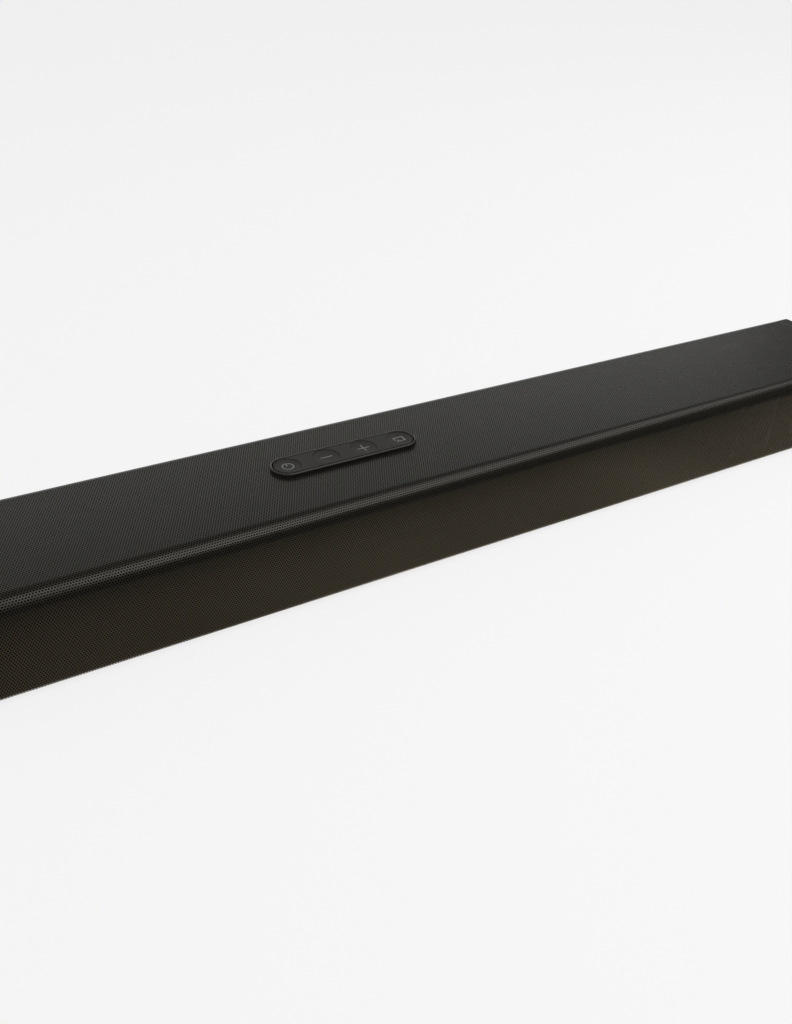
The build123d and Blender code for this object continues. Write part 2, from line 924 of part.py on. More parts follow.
with BuildPart() as driver_screws:
    shank = flange_front + driver_screw_reach + root
    for x in driver_places.values():
        with Locations(driver_face(x, flange_front + small_head / 2)):
            with GridLocations(2 * driver_screw_offset, 2 * driver_screw_offset, 2, 2):
                Cylinder(small_head_radius, small_head)
        with Locations(driver_face(x, flange_front + root - shank / 2)):
            with GridLocations(2 * driver_screw_offset, 2 * driver_screw_offset, 2, 2):
                Cylinder(small_screw_radius, shank)
save(driver_screws, "driver_screws")

# ---------------------------------------------------------------- bass ports

for side, sign in (("left", -1), ("right", 1)):
    x = sign * driver_pair_x
    with BuildPart() as port_tube:
        with BuildSketch(Plane(origin=(x, back, middle_z), x_dir=(1, 0, 0), z_dir=(0, 0, -1))):
            with BuildLine():
                Polyline(
                    (port_radius, port_flare),
                    (port_radius, port_length),
                    (port_radius + port_wall, port_length),
                    (port_radius + port_wall, port_flange_thickness),
                    (port_flange, port_flange_thickness),
                    (port_flange, 0),
                    (port_radius + port_flare, 0),
                )
                RadiusArc((port_radius + port_flare, 0), (port_radius, port_flare), port_flare)
            make_face()
        revolve(axis=Axis((x, back, middle_z), (0, -1, 0)))
    save(port_tube, f"port_tube_{side}")

# ---------------------------------------------------------------- main board and what it carries

with BuildPart() as main_board:
    block(
        (board_left, board_front, main_board_level),
        (board_right, board_back, board_top),
    )
    upright(
        standoff_points,
        screw_radius + fit_gap / 2,
        main_board_level - through,
        board_top + through,
        mode=Mode.SUBTRACT,
    )
save(main_board, "main_board")

with BuildPart() as board_screws:
    upright(standoff_points, screw_radius, main_board_level - board_screw_reach, board_top + root)
    upright(standoff_points, screw_head_radius, board_top, board_top + screw_head)
save(board_screws, "board_screws")

amplifier_x = board_right - amplifier_inset
amplifier_y = board_front + amplifier_front
sink_low = board_top + amplifier_height

with BuildPart() as amplifier_chip:
    with Locations((amplifier_x, amplifier_y, board_top + amplifier_height / 2)):
        Box(amplifier_size, amplifier_size, amplifier_height)
save(amplifier_chip, "amplifier_chip")

with BuildPart() as heat_sink:
    with Locations((amplifier_x, amplifier_y, sink_low + sink_base / 2)):
        Box(sink_length, sink_width, sink_base)
    with Locations((amplifier_x, amplifier_y, sink_low + sink_height / 2)):
        with GridLocations((sink_length - sink_fin) / (sink_fins - 1), 1, sink_fins, 1):
            Box(sink_fin, sink_width, sink_height)
    # the two pins that stand it on the board
    with Locations((amplifier_x, amplifier_y, board_top + amplifier_height / 2)):
        with GridLocations(sink_length - 2 * sink_pin_inset, 1, 2, 1):
            Cylinder(screw_radius, amplifier_height)
save(heat_sink, "heat_sink")

with BuildPart() as wireless_module:
    module_x = board_left + module_inset
    module_y = board_front + module_front
    with Locations((module_x, module_y, board_top + module_board / 2)):
        Box(module_length, module_width, module_board)
    with Locations((module_x + module_aerial / 2, module_y, board_top + module_height / 2)):
        Box(
            module_length - module_aerial - 2 * module_edge,
            module_width - 2 * module_edge,
            module_height,
        )
    fillet(wireless_module.faces().sort_by(Axis.Z)[-1].edges(), radius=module_round)
save(wireless_module, "wireless_module")

with BuildPart() as board_capacitors:
    capacitor_x = board_left + capacitor_inset
    capacitor_y = board_front + capacitor_front
    with Locations((capacitor_x, capacitor_y, board_top + capacitor_height / 2)):
        with GridLocations(capacitor_pitch, capacitor_pitch, 2, 2):
            Cylinder(capacitor_radius, capacitor_height)
    chamfer(board_capacitors.edges().group_by(Axis.Z)[-1], length=capacitor_edge)
save(board_capacitors, "board_capacitors")

with BuildPart() as board_chokes:
    with Locations((amplifier_x, board_back - choke_back, board_top + choke_height / 2)):
        with GridLocations(choke_pitch, 1, choke_count, 1):
            Box(choke_size, choke_size, choke_height)
    fillet(board_chokes.edges().filter_by(Axis.Z), radius=choke_round)
save(board_chokes, "board_chokes")

# ---------------------------------------------------------------- sockets and their panel


def socket_block(name):
    """Body of a socket on the board, flush with the panel's face."""
    x, width, height = sockets[name]
    block((x - width / 2, socket_front, board_top), (x + width / 2, panel_face, board_top + height))


def socket_mouth(name, width, height, depth, lift=0.0, mode=Mode.SUBTRACT):
    """Rectangular hollow from the panel's face into a socket, or the tongue inside it."""
    x, _, body_height = sockets[name]
    level = board_top + body_height / 2 + lift
    near, far = panel_face - depth, panel_face + through
    if mode == Mode.ADD:
        near, far = near - root, panel_face - tongue_drop
    block((x - width / 2, near, level - height / 2), (x + width / 2, far, level + height / 2), mode=mode)


def socket_bore(name, radius, depth):
    """Round hollow from the panel's face into a socket."""
    x, _, height = sockets[name]
    with Locations(Location((x, panel_face, board_top + height / 2), (90, 0, 0))):
        Cylinder(radius, 2 * depth, mode=Mode.SUBTRACT)


with BuildPart() as dc_socket:
    socket_block("dc_socket")
    socket_bore("dc_socket", dc_bore, dc_depth)
    dc_x, _, dc_height = sockets["dc_socket"]
    pin_middle = panel_face - tongue_drop - dc_depth / 2
    with Locations(Location((dc_x, pin_middle, board_top + dc_height / 2), (90, 0, 0))):
        Cylinder(dc_pin, dc_depth)
save(dc_socket, "dc_socket")

with BuildPart() as aux_socket:
    socket_block("aux_socket")
    socket_bore("aux_socket", aux_bore, aux_depth)
save(aux_socket, "aux_socket")

with BuildPart() as optical_socket:
    socket_block("optical_socket")
    socket_mouth("optical_socket", optical_mouth, optical_mouth, optical_depth)
save(optical_socket, "optical_socket")

with BuildPart() as usb_socket:
    socket_block("usb_socket")
    socket_mouth("usb_socket", usb_mouth_width, usb_mouth_height, usb_depth)
    socket_mouth("usb_socket", usb_tongue_width, usb_tongue_height, usb_depth, usb_tongue_lift, Mode.ADD)
save(usb_socket, "usb_socket")

with BuildPart() as hdmi_socket:
    socket_block("hdmi_socket")
    socket_mouth("hdmi_socket", hdmi_mouth_width, hdmi_mouth_height, hdmi_depth)
    socket_mouth(
        "hdmi_socket", hdmi_tongue_width, hdmi_tongue_height, hdmi_depth, hdmi_tongue_lift, Mode.ADD
    )
save(hdmi_socket, "hdmi_socket")

with BuildPart() as socket_panel:
    block(
        (-bay_width / 2 + panel_margin, bay_face, bay_low + panel_margin),
        (bay_width / 2 - panel_margin, panel_face, bay_high - panel_margin),
    )
    for x, width, height in sockets.values():
        block(
            (x - width / 2 - socket_play, bay_face - through, board_top - socket_play),
            (x + width / 2 + socket_play, panel_face + through, board_top + height + socket_play),
            mode=Mode.SUBTRACT,
        )
save(socket_panel, "socket_panel")

# ---------------------------------------------------------------- indicator board

with BuildPart() as indicator_board:
    block(
        (
            -indicator_board_length / 2,
            indicator_face,
            indicator_z - indicator_board_height / 2,
        ),
        (
            indicator_board_length / 2,
            indicator_face + board_thickness,
            indicator_z + indicator_board_height / 2,
        ),
    )
save(indicator_board, "indicator_board")

with BuildPart() as indicator_leds:
    with Locations((led_middle, (led_front + indicator_face) / 2, indicator_z)):
        with GridLocations(led_pitch, 1, led_count, 1):
            Box(led_width, indicator_face - led_front, led_width)
    fillet(indicator_leds.edges().group_by(Axis.Y)[0], radius=led_round)
save(indicator_leds, "indicator_leds")

with BuildPart() as remote_receiver:
    block(
        (receiver_x - receiver_width / 2, led_front, indicator_z - receiver_width / 2),
        (receiver_x + receiver_width / 2, indicator_face, indicator_z + receiver_width / 2),
    )
    fillet(remote_receiver.edges().group_by(Axis.Y)[0], radius=receiver_round)
save(remote_receiver, "remote_receiver")

# ---------------------------------------------------------------- inner leads

magnet_face = pocket_floor - magnet_back + fit_gap
lead_start = middle_z - lead_drop
lead_end = board_top + lead_radius + lead_rest

for side, sign in (("left", -1), ("right", 1)):
    with BuildPart() as speaker_lead:
        for place, row in zip(("outer", "inner"), lead_rows):
            start_x = driver_places[f"driver_{side}_{place}"]
            end_x = sign * (board_right - lead_overlap)
            climb_x = end_x + sign * lead_climb
            route = [
                (start_x, magnet_face, lead_start),
                (start_x, row, lead_start),
                (start_x, row, lead_level),
                (climb_x, row, lead_level),
                (climb_x, row, lead_end),
                (end_x, row, lead_end),
            ]
            runs = [(Vector(b) - Vector(a)).length for a, b in zip(route, route[1:])]
            bends = [0.45 * min(pair) for pair in zip(runs, runs[1:])]
            with BuildLine() as path:
                FilletPolyline(*route, radius=bends)
            with BuildSketch(Plane(origin=path.line @ 0, z_dir=path.line % 0)):
                Circle(lead_radius)
            sweep(path=path.line)
            rounded = [round(bend, 1) for bend in bends]
            print(side, place, "lead", round(path.wires()[0].length), "mm, bend radii", rounded)
    save(speaker_lead, f"speaker_lead_{side}")

ribbon_top = head_seat - lead_rest
ribbon_end = board_top + lead_rest

with BuildPart() as key_ribbon:
    with BuildSketch(Plane.YZ.offset(ribbon_x - ribbon_width / 2)):
        with BuildLine():
            FilletPolyline(
                (pad_y, ribbon_top),
                (pad_y, ribbon_top - ribbon_fall),
                (pad_y - ribbon_bow, ribbon_top - 2 * ribbon_fall),
                (pad_y, ribbon_end + ribbon_fall),
                (pad_y, ribbon_end),
                radius=ribbon_bend,
            )
        trace(line_width=ribbon_thickness)
    extrude(amount=ribbon_width)
save(key_ribbon, "key_ribbon")
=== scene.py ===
"""Soundbar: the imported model, dressed with its perforated skin, its finishes and a plain studio."""

import math

import bpy
import numpy as np
from mathutils import Matrix, Vector


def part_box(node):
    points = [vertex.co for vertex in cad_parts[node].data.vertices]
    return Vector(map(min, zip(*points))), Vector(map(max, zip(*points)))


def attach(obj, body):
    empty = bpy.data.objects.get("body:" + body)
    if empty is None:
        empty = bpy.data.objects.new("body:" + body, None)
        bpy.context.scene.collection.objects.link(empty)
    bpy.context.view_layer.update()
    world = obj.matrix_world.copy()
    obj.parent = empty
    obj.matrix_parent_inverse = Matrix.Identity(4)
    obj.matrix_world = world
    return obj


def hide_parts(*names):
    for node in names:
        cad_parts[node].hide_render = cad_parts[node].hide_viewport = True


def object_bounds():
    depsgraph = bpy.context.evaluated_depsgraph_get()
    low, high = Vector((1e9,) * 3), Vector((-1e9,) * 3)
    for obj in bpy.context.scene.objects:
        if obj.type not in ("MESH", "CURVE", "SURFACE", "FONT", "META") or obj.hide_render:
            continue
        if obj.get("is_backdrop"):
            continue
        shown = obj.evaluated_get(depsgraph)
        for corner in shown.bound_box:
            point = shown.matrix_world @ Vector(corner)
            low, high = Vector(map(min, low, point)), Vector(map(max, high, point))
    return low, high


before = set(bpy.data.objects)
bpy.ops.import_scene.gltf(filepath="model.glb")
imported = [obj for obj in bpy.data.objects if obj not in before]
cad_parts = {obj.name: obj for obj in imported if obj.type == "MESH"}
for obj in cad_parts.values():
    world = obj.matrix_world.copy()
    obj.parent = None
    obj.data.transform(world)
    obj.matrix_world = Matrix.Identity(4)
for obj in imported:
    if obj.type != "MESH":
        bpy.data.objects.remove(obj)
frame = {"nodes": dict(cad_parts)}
nodes = frame["nodes"]
cad_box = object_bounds()

MM = 0.001
TOLERANCE = 0.05 * MM  # how near points lie to the line they belong to
MERGE = 0.01 * MM  # points closer than this are one
SMOOTH_ANGLE = math.radians(35)

# ---------------------------------------------------------------- sizes

# perforated skin, as it was bent from a flat sheet
HOLE_PITCH = 1.6 * MM
HOLE_FLAT = 1.0 * MM  # across a hole
SHEET = 1.0 * MM
FRONT_BEND = 9.0 * MM
LOWER_BEND = 5.0 * MM
BACK_BEND = 2.5 * MM
BACK_BEND_STEPS = 6
LAST_BEND_STEP = 9  # degrees of the lower bend, before the bottom lip
BACK_LIP = 9.0 * MM
BOTTOM_LIP = 9.0 * MM
STRETCHES = 6  # of the skin along the bar
COLUMNS = 95  # of holes in each stretch
ROW_PAIRS = 56
PLAIN_EDGE = 1.0 * MM  # unpunched sheet between the back bend and the holes
HEM = 3.0 * MM  # how far the sheet's inner face is made at its edges
PAD_LEDGE = 0.9 * MM  # how far the pad's rim lies over the cut edge of the sheet

# the pad's rim
RIM_CORNERS = 128
RIM_ROUND_STEPS = 8
RIM_WIDTH = 1.2 * MM
RIM_OUTER_ROUND = 0.9 * MM
RIM_INNER_ROUND = 0.3 * MM
RIM_TONGUE = 1.0 * MM  # from its outer edge to the tongue that stands in the sheet's opening

# printed signs on the keys
SIGN_STROKE = 0.8 * MM
SIGN_THICKNESS = 0.04 * MM
RING_RADIUS = 3.9 * MM
RING_GAP = 1.1 * MM  # to each side of the power sign's bar
RING_CORNERS = 48
POWER_BAR = 3.6 * MM
POWER_BAR_RISE = 0.2 * MM  # out of the ring
BAR_LENGTH = 8.4 * MM  # of the minus and the plus
SCREEN_WIDTH = 7.4 * MM
SCREEN_DEPTH = 5.4 * MM
SCREEN_GAP = 2.2 * MM  # at the corner where the arrow goes in
ARROW_TURN = -45
ARROW_HEAD = 1.0 * MM  # from its middle to its tip
ARROW_HEAD_PLACE = (-1.2 * MM, -1.0 * MM, 0)
ARROW_TAIL = 2.0 * MM
ARROW_TAIL_WIDTH = 0.7 * SIGN_STROKE
ARROW_TAIL_PLACE = (-2.5 * MM, -2.3 * MM, 0)

skin_low, skin_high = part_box("grille")
pad_low, pad_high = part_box("pad_bezel")
pad_middle = (pad_low + pad_high) / 2
pad_radius = (pad_high.y - pad_low.y) / 2


# ---------------------------------------------------------------- modelling helpers


def start_fresh():
    """Deselects everything, so that operators act on the next primitive alone."""
    bpy.ops.object.select_all(action="DESELECT")


def select_only(piece):
    start_fresh()
    piece.select_set(True)
    bpy.context.view_layer.objects.active = piece


def new_piece(name):
    """Names the piece that the last primitive made, and selects it alone."""
    piece = bpy.context.object
    piece.name = piece.data.name = name
    select_only(piece)
    return piece


def settle(piece):
    """Puts the piece's place into its mesh."""
    select_only(piece)
    bpy.ops.object.transform_apply(location=True, rotation=True, scale=True)


def modify(piece, kind, **settings):
    """Adds a modifier and applies it."""
    select_only(piece)
    modifier = piece.modifiers.new(kind.lower(), kind)
    for name, value in settings.items():
        setattr(modifier, name, value)
    bpy.ops.object.modifier_apply(modifier=modifier.name)


def in_edit_mode(piece, *steps):
    """Runs mesh operators on everything in the piece."""
    select_only(piece)
    bpy.ops.object.mode_set(mode="EDIT")
    bpy.ops.mesh.select_all(action="SELECT")
    for step, settings in steps:
        step(**settings)
    bpy.ops.object.mode_set(mode="OBJECT")


def turned(axis, degrees):
    """A turn about an axis."""
    return Matrix.Rotation(math.radians(degrees), 4, axis)


def points_of(piece):
    """The places of a piece's points, one row each."""
    points = np.zeros(3 * len(piece.data.vertices))
    piece.data.vertices.foreach_get("co", points)
    return points.reshape(-1, 3)


def put_points(piece, points):
    """Moves a piece's points to these places."""
    piece.data.vertices.foreach_set("co", points.ravel())
    piece.data.update()


def middles_of(piece):
    """The middle of each face, one row each."""
    return np.array([face.center for face in piece.data.polygons])


def delete_faces(piece, chosen):
    """Deletes the faces that the list of yes and no chooses."""
    select_only(piece)
    bpy.ops.object.mode_set(mode="EDIT")
    bpy.ops.mesh.select_mode(type="FACE")
    bpy.ops.mesh.select_all(action="DESELECT")
    bpy.ops.object.mode_set(mode="OBJECT")
    piece.data.polygons.foreach_set("select", chosen)
    bpy.ops.object.mode_set(mode="EDIT")
    bpy.ops.mesh.delete(type="FACE")
    bpy.ops.object.mode_set(mode="OBJECT")


def open_edges(piece):
    """The ends of each edge, and whether fewer than two faces meet there."""
    mesh = piece.data
    ends = np.zeros(2 * len(mesh.edges), int)
    mesh.edges.foreach_get("vertices", ends)
    loops = np.zeros(len(mesh.loops), int)
    mesh.loops.foreach_get("edge_index", loops)
    return ends.reshape(-1, 2), np.bincount(loops, minlength=len(mesh.edges)) < 2


def draw_out(piece, condition, place):
    """Extrudes the open edges whose middle meets a condition, and places the new points."""
    points = points_of(piece)
    ends, is_open = open_edges(piece)
    middle = points[ends].mean(axis=1)
    chosen = is_open & condition(middle)
    bpy.ops.object.mode_set(mode="EDIT")
    bpy.ops.mesh.select_mode(type="EDGE")
    bpy.ops.mesh.select_all(action="DESELECT")
    bpy.ops.object.mode_set(mode="OBJECT")
    piece.data.edges.foreach_set("select", chosen)
    at_ends = np.zeros(len(points), bool)
    at_ends[ends[chosen]] = True
    piece.data.vertices.foreach_set("select", at_ends)
    bpy.ops.object.mode_set(mode="EDIT")
    bpy.ops.mesh.extrude_edges_move()
    bpy.ops.object.mode_set(mode="OBJECT")
    points = points_of(piece)
    new = np.zeros(len(points), bool)
    piece.data.vertices.foreach_get("select", new)
    points[new] = place(points[new])
    put_points(piece, points)


# ---------------------------------------------------------------- perforated skin

skin_depth = skin_high.y - skin_low.y
skin_height = skin_high.z - skin_low.z
# the sheet's section from the back lip's edge to the bottom lip's: (flat length, outer radius of
# the quarter bend after it)
SECTION = [
    (BACK_LIP - BACK_BEND, BACK_BEND),
    (skin_depth - BACK_BEND - FRONT_BEND, FRONT_BEND),
    (skin_height - FRONT_BEND - LOWER_BEND, LOWER_BEND),
    (BOTTOM_LIP - LOWER_BEND, 0),
]
girth = sum(flat + bend * math.pi / 2 for flat, bend in SECTION)
back_bend_end = BACK_LIP - BACK_BEND + BACK_BEND * math.pi / 2
row_gap = HOLE_PITCH * math.sqrt(3) / 2
first_row = back_bend_end + PLAIN_EDGE + HOLE_PITCH / math.sqrt(3)
last_row = first_row + (2 * ROW_PAIRS - 1) * row_gap
stretch_length = COLUMNS * HOLE_PITCH
first_column = -(STRETCHES * stretch_length - HOLE_PITCH / 2) / 2


def fold(points):
    """Bends points of the flat sheet round the bar: X stays, Y runs along the section, -Z goes in."""
    bent = np.zeros(len(points), complex)  # depth and height
    run, lift = points[:, 1], points[:, 2]
    at, heading, start = complex(skin_high.y, skin_high.z - BACK_LIP), 1j, 0.0
    for flat, bend in SECTION:
        beyond = run >= start
        bent[beyond] = (at + heading * (run - start - 1j * lift))[beyond]
        at += heading * flat
        start += flat
        if bend:
            beyond = run >= start
            turn = np.exp(1j * (run - start) / bend)
            centre = at + 1j * heading * bend
            bent[beyond] = (centre - 1j * heading * turn * (bend + lift))[beyond]
            at = centre + heading * bend
            heading *= 1j
            start += bend * math.pi / 2
    return np.column_stack([points[:, 0], bent.real, bent.imag])


def punched_field():
    """A flat stretch of sheet in six-sided cells staggered at 60 degrees, each round a hole's blank."""
    start_fresh()
    bpy.ops.mesh.primitive_circle_add(
        vertices=6,
        radius=HOLE_PITCH / math.sqrt(3),
        fill_type="NGON",
        location=(first_column, first_row, 0),
    )
    field = new_piece("punched_field")
    in_edit_mode(
        field,
        (bpy.ops.mesh.inset, {"thickness": (HOLE_PITCH - HOLE_FLAT) / 2}),
        (bpy.ops.mesh.select_all, {"action": "SELECT"}),
        (
            bpy.ops.mesh.duplicate_move,
            {"TRANSFORM_OT_translate": {"value": (HOLE_PITCH / 2, row_gap, 0)}},
        ),
    )
    settle(field)
    for count, step in ((COLUMNS, (HOLE_PITCH, 0, 0)), (ROW_PAIRS, (0, 2 * row_gap, 0))):
        modify(
            field,
            "ARRAY",
            count=count,
            use_relative_offset=False,
            use_constant_offset=True,
            constant_offset_displace=step,
        )
    in_edit_mode(field, (bpy.ops.mesh.remove_doubles, {"threshold": MERGE}))
    return field


def at_run(run, depth=0.0):
    """Moves points of the flat sheet to one place along the section."""
    return lambda points: np.column_stack(
        [points[:, 0], np.full(len(points), run), np.full(len(points), -depth)]
    )


def at_end(x, depth=0.0):
    """Moves points of the flat sheet to one place along the bar."""
    return lambda points: np.column_stack(
        [np.full(len(points), x), points[:, 1], np.full(len(points), -depth)]
    )


def unroll(stretch):
    """A UV map of the flat sheet."""
    points = points_of(stretch)
    mesh = stretch.data
    corners = np.zeros(len(mesh.loops), int)
    mesh.loops.foreach_get("vertex_index", corners)
    low = points.min(axis=0)
    span = np.ptp(points, axis=0)
    flat = ((points - low) / span.max())[:, :2]
    mesh.uv_layers.new(name="OFBake").uv.foreach_set("vector", flat[corners].astype(np.float32).ravel())


def copy_of(stretch, number, steps):
    """A copy of a stretch, this many stretches further along the bar."""
    select_only(stretch)
    bpy.ops.object.duplicate()
    copied = new_piece(f"perforated_skin_{number + 1}")
    put_points(copied, points_of(copied) + (steps * stretch_length, 0, 0))
    return copied


def skin_stretch(field, number):
    """One stretch of the skin: the field with its plain edges, bent round the bar."""
    stretch = copy_of(field, number, number)
    quarter = HOLE_PITCH / 4
    ends = []
    if number == 0:
        ends.append((lambda x: x < first_column + TOLERANCE, skin_low.x))
    if number == STRETCHES - 1:
        last_column = first_column + STRETCHES * stretch_length - HOLE_PITCH / 2
        ends.append((lambda x: x > last_column - TOLERANCE, skin_high.x))
    for beyond, end in ends:
        draw_out(
            stretch,
            lambda m: beyond(m[:, 0]) & (m[:, 1] > first_row - quarter) & (m[:, 1] < last_row + quarter),
            at_end(end),
        )
    edge = first_row - quarter
    for run in [*np.linspace(back_bend_end, BACK_LIP - BACK_BEND, BACK_BEND_STEPS), 0.0]:
        draw_out(stretch, lambda m: m[:, 1] < edge, at_run(run))
        edge = run + TOLERANCE
    lower_bend_end = girth - SECTION[-1][0]
    edge = last_row + quarter
    for run in (lower_bend_end - LOWER_BEND * math.radians(LAST_BEND_STEP), lower_bend_end, girth):
        draw_out(stretch, lambda m: m[:, 1] > edge, at_run(run))
        edge = run - TOLERANCE
    # the sheet's thickness at its long edges, and a little of its inner face
    draw_out(stretch, lambda m: m[:, 1] < TOLERANCE, at_run(0.0, SHEET))
    draw_out(stretch, lambda m: m[:, 1] > girth - TOLERANCE, at_run(girth, SHEET))
    draw_out(stretch, lambda m: (m[:, 1] < TOLERANCE) & (m[:, 2] < -TOLERANCE), at_run(HEM, SHEET))
    draw_out(
        stretch,
        lambda m: (m[:, 1] > girth - TOLERANCE) & (m[:, 2] < -TOLERANCE),
        at_run(girth - HEM, SHEET),
    )
    for _, end in ends:
        draw_out(
            stretch,
            lambda m: (abs(m[:, 0] - end) < TOLERANCE) & (m[:, 2] > -TOLERANCE),
            at_end(end, SHEET),
        )
    unroll(stretch)
    put_points(stretch, fold(points_of(stretch)))
    delete_faces(stretch, np.array([len(face.vertices) == 6 for face in stretch.data.polygons]))
    in_edit_mode(stretch, (bpy.ops.mesh.flip_normals, {}))
    bpy.ops.object.shade_smooth_by_angle(angle=SMOOTH_ANGLE)
    return stretch


def open_for_pad(stretch):
    """Cuts the opening that the pad's rim covers."""
    middles = middles_of(stretch)
    off_axis = np.maximum(abs(middles[:, 0]) - (pad_high.x - pad_radius), 0)
    under_pad = np.hypot(off_axis, middles[:, 1] - pad_middle.y) < pad_radius - PAD_LEDGE
    delete_faces(stretch, under_pad & (middles[:, 2] > skin_high.z - TOLERANCE))


field = punched_field()
last = STRETCHES - 1
first_stretch, second_stretch, last_stretch = (skin_stretch(field, number) for number in (0, 1, last))
bpy.data.objects.remove(field)
skin = [first_stretch, second_stretch]
skin += [copy_of(second_stretch, number, number - 1) for number in range(2, last)]
skin.append(last_stretch)
for stretch in skin:
    open_for_pad(stretch)
    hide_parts("grille")
    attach(stretch, "cabinet")


# ---------------------------------------------------------------- rim of the control pad


def round_the_pad(inset, height):
    """Moves points straight in or out to a line that runs round the pad."""

    def place(points):
        half = pad_high.x - pad_radius - pad_middle.x
        axis = np.clip(points[:, 0] - pad_middle.x, -half, half) + pad_middle.x
        outward = points[:, :2] - np.column_stack([axis, np.full(len(points), pad_middle.y)])
        outward /= np.linalg.norm(outward, axis=1)[:, None]
        reach = outward * (pad_radius - inset)
        return np.column_stack(
            [axis + reach[:, 0], pad_middle.y + reach[:, 1], np.full(len(points), height)]
        )

    return place


def near_line(inset, height):
    """Whether points lie on the line round the pad at this inset and height."""

    def on_line(points):
        place = round_the_pad(inset, height)(points)
        return np.linalg.norm(points - place, axis=1) < TOLERANCE

    return on_line


def pad_rim():
    """A rounded bead on the sheet, with a tongue that stands in the opening."""
    quarter_turn = np.linspace(0, math.pi / 2, RIM_ROUND_STEPS)
    line = [
        (
            RIM_OUTER_ROUND * (1 - math.cos(angle)),
            pad_high.z - RIM_OUTER_ROUND * (1 - math.sin(angle)),
        )
        for angle in quarter_turn
    ]
    line += [
        (
            RIM_WIDTH - RIM_INNER_ROUND * (1 - math.sin(angle)),
            pad_high.z - RIM_INNER_ROUND * (1 - math.cos(angle)),
        )
        for angle in quarter_turn[1::2]
    ]
    line += [(RIM_WIDTH, pad_low.z), (RIM_TONGUE, pad_low.z), (RIM_TONGUE, skin_high.z), (0, skin_high.z)]
    start_fresh()
    bpy.ops.mesh.primitive_circle_add(vertices=RIM_CORNERS, radius=pad_radius)
    rim = new_piece("pad_rim")
    points = points_of(rim)
    points[:, 0] += np.where(points[:, 0] > 0, 1, -1) * (pad_high.x - pad_radius)
    put_points(rim, round_the_pad(0, skin_high.z)(points + (pad_middle.x, pad_middle.y, 0)))
    start = (0, skin_high.z)
    for inset, height in line:
        draw_out(rim, near_line(*start), round_the_pad(inset, height))
        start = (inset, height)
    in_edit_mode(
        rim,
        (bpy.ops.mesh.remove_doubles, {"threshold": MERGE}),
        (bpy.ops.mesh.normals_make_consistent, {}),
    )
    bpy.ops.object.shade_smooth_by_angle(angle=SMOOTH_ANGLE)
    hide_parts("pad_bezel")
    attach(rim, "cabinet")
    return rim


rim = pad_rim()


# ---------------------------------------------------------------- signs printed on the keys


def stroke(length, width, place, along_y=False):
    """A straight printed bar, in steps of about a millimetre so that it can follow the key's dish."""
    start_fresh()
    bpy.ops.mesh.primitive_plane_add(size=1)
    bar = new_piece("stroke")
    bar.scale = (width, length, 1) if along_y else (length, width, 1)
    bar.location = (*place, 0)
    settle(bar)
    in_edit_mode(bar, (bpy.ops.mesh.subdivide, {"number_cuts": max(2, round(length / MM))}))
    return bar


def power_sign():
    """A ring, open at the top, with a bar in its gap."""
    start_fresh()
    bpy.ops.mesh.primitive_circle_add(vertices=RING_CORNERS, radius=RING_RADIUS, fill_type="NGON")
    ring = new_piece("ring")
    in_edit_mode(ring, (bpy.ops.mesh.inset, {"thickness": SIGN_STROKE}))
    middles = middles_of(ring)
    gap = (middles[:, 1] > 0) & (abs(middles[:, 0]) < RING_GAP)
    blank = np.array([len(face.vertices) > 4 for face in ring.data.polygons])
    delete_faces(ring, gap | blank)
    bar_middle = RING_RADIUS - POWER_BAR / 2 + POWER_BAR_RISE
    return [ring, stroke(POWER_BAR, SIGN_STROKE, (0, bar_middle), along_y=True)]


def minus_sign():
    return [stroke(BAR_LENGTH, SIGN_STROKE, (0, 0))]


def plus_sign():
    arm = (BAR_LENGTH - SIGN_STROKE) / 2
    reach = (arm + SIGN_STROKE) / 2
    return [
        stroke(BAR_LENGTH, SIGN_STROKE, (0, 0)),
        stroke(arm, SIGN_STROKE, (0, reach), along_y=True),
        stroke(arm, SIGN_STROKE, (0, -reach), along_y=True),
    ]


def source_sign():
    """A screen's outline, open at its lower left, where an arrow goes in."""
    side = SCREEN_WIDTH / 2
    edge = SCREEN_DEPTH / 2
    half = SIGN_STROKE / 2
    middle = (SCREEN_GAP - SIGN_STROKE) / 2  # of the sides that the gap shortens
    slope = turned("Z", ARROW_TURN).to_3x3()
    start_fresh()
    bpy.ops.mesh.primitive_circle_add(vertices=3, radius=ARROW_HEAD, fill_type="NGON")
    head = new_piece("arrow_head")
    put_points(head, points_of(head) @ slope + ARROW_HEAD_PLACE)
    tail = stroke(ARROW_TAIL, ARROW_TAIL_WIDTH, (0, 0))
    put_points(tail, points_of(tail) @ slope + ARROW_TAIL_PLACE)
    return [
        stroke(SCREEN_WIDTH, SIGN_STROKE, (0, edge - half)),
        stroke(SCREEN_DEPTH - SIGN_STROKE, SIGN_STROKE, (side - half, -half), along_y=True),
        stroke(SCREEN_WIDTH - SCREEN_GAP, SIGN_STROKE, (middle, -edge + half)),
        stroke(SCREEN_DEPTH - SCREEN_GAP, SIGN_STROKE, (-side + half, middle), along_y=True),
        head,
        tail,
    ]


